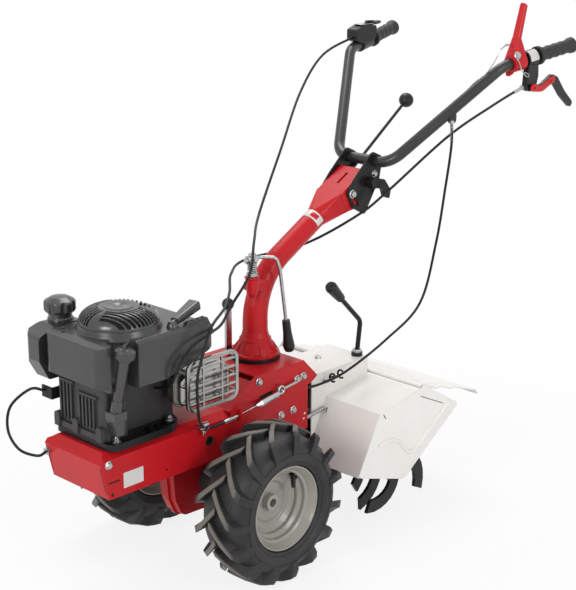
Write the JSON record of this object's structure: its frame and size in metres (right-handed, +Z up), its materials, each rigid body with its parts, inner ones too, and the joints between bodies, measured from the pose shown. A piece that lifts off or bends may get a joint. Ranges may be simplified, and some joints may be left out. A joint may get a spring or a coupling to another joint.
{
  "type": "walking tractor",
  "caption": "Walking tractor with a vertical-shaft engine, lugged tyres, a swivelling column with a height-set handlebar, and a tined rear tiller under a hood.",
  "frame": {"origin": "on the ground under the middle of the whole machine", "axes": "+X forward, the way it drives; +Y to its left; +Z up"},
  "size_m": [1.3093, 0.5644, 1.122],
  "materials": {
    "red_paint": "gloss",
    "red_plastic": "satin",
    "white_paint": "gloss",
    "tyre_rubber": "matte",
    "rim_paint": "satin",
    "steel": "satin",
    "cast_grey": "matte",
    "engine_metal": "matte",
    "grey_plastic": "satin",
    "black_plastic": "satin",
    "silencer_steel": "satin",
    "black_metal": "satin",
    "bar_paint": "satin",
    "grip_rubber": "matte",
    "cable_sheath": "satin"
  },
  "bodies": {
    "tractor": {"chassis": "red_paint", "side_plates": "red_paint", "saddle": "red_paint", "gear_case": "red_paint", "axle_housings": "cast_grey", "engine_base": "engine_metal", "crankcase": "engine_metal", "cylinder_barrel": "engine_metal", "blower_housing": "grey_plastic", "starter_dome": "black_plastic", "starter_grip": "black_plastic", "fuel_tank": "black_plastic", "fuel_cap": "black_plastic", "oil_filler": "black_plastic", "silencer": "silencer_steel", "silencer_guard": "silencer_steel", "throttle_bracket": "steel", "front_boss_nut": "steel", "crank_pulley": "cast_grey", "case_pulley": "cast_grey", "swivel_ring": "black_metal", "shift_lever": "steel", "tiller_neck": "cast_grey", "tiller_case": "cast_grey", "tiller_hood": "white_paint", "tiller_cover": "white_paint", "flap_rod": "steel", "tiller_lever": "steel", "tiller_lever_grip": "black_plastic", "tiller_strut": "steel", "throttle_cable": "cable_sheath", "clutch_cable": "cable_sheath", "reverse_cable": "cable_sheath", "front_cable": "cable_sheath"},
    "left_wheel": {"left_tyre": "tyre_rubber", "left_rim": "rim_paint", "left_shaft": "steel"},
    "right_wheel": {"right_tyre": "tyre_rubber", "right_rim": "rim_paint", "right_shaft": "steel"},
    "column": {"column": "red_paint", "column_head": "red_paint", "lock_plunger": "steel", "lock_lever": "steel", "lock_grip": "black_plastic", "clamp_handle": "black_metal"},
    "handlebar": {"clamp_plates": "black_metal", "handlebar": "bar_paint", "left_grip": "grip_rubber", "right_grip": "grip_rubber", "clutch_bracket": "black_plastic", "clutch_lever": "black_plastic", "reverse_lever": "red_plastic", "throttle_control": "black_plastic", "selector_rod": "black_metal", "selector_knob": "black_plastic"},
    "flap": {"tiller_flap": "white_paint"},
    "rotor": {"tiller_rotor": "black_metal"}
  },
  "joints": [
    {"name": "left_wheel_spin", "type": "hinge", "parent": "tractor", "child": "left_wheel", "pos_m": [0.268, 0.193, 0.165], "axis": [0, 1, 0], "continuous": true},
    {"name": "right_wheel_spin", "type": "hinge", "parent": "tractor", "child": "right_wheel", "pos_m": [0.268, -0.193, 0.165], "axis": [0, 1, 0], "continuous": true},
    {"name": "rotor_spin", "type": "hinge", "parent": "tractor", "child": "rotor", "pos_m": [-0.132, 0, 0.1304], "axis": [0, 1, 0], "continuous": true},
    {"name": "column_swivel", "type": "hinge", "parent": "tractor", "child": "column", "pos_m": [0.118, 0, 0.394], "axis": [0, 0, 1], "range_deg": [-30, 30], "deforming": ["throttle_cable", "clutch_cable", "reverse_cable"]},
    {"name": "handlebar_height", "type": "hinge", "parent": "column", "child": "handlebar", "pos_m": [-0.198, 0, 0.735], "axis": [0, -1, 0], "range_deg": [0, 30]},
    {"name": "flap_lift", "type": "hinge", "parent": "tractor", "child": "flap", "pos_m": [-0.192, 0, 0.2984], "axis": [0, 1, 0], "range_deg": [0, 60]}
  ]
}
